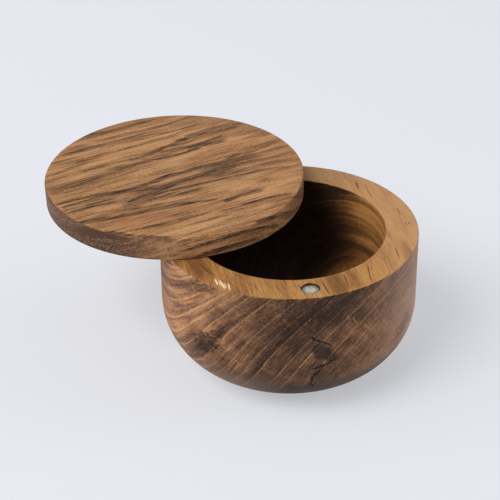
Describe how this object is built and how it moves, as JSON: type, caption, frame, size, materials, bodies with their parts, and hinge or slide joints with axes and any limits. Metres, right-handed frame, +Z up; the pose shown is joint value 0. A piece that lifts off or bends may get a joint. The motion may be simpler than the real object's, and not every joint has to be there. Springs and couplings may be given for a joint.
{
  "type": "salt box with swivel lid",
  "caption": "Round turned wooden salt box with a thick wall and a flat disc lid that swings sideways on a hidden upright pin and is held shut by magnets.",
  "frame": {"origin": "middle of the flat foot, on the surface that the box stands on", "axes": "+Z up along the axis of the bowl; +X to the right and +Y away from the viewer in the picture's view, which looks along +Y from above"},
  "size_m": [0.145, 0.1262, 0.0657],
  "materials": {
    "bowl_wood": "turned walnut, oiled to a satin",
    "lid_wood": "turned walnut, oiled to a satin",
    "magnet_plating": "nickel plating, satin",
    "set_glue": "clear set glue, glossy",
    "pin_steel": "ground rod"
  },
  "bodies": {
    "bowl": {"bowl": "bowl_wood", "rim_magnet": "magnet_plating", "rim_magnet_glue": "set_glue"},
    "lid": {"lid": "lid_wood", "pivot_pin": "pin_steel", "lid_magnet": "magnet_plating", "lid_magnet_glue": "set_glue"}
  },
  "joints": [
    {"name": "lid_swivel", "type": "hinge", "parent": "bowl", "child": "lid", "pos_m": [-0.00536, 0.04246, 0.05652], "axis": [0, 0, 1], "range_deg": [-105.2, 74.8]}
  ]
}
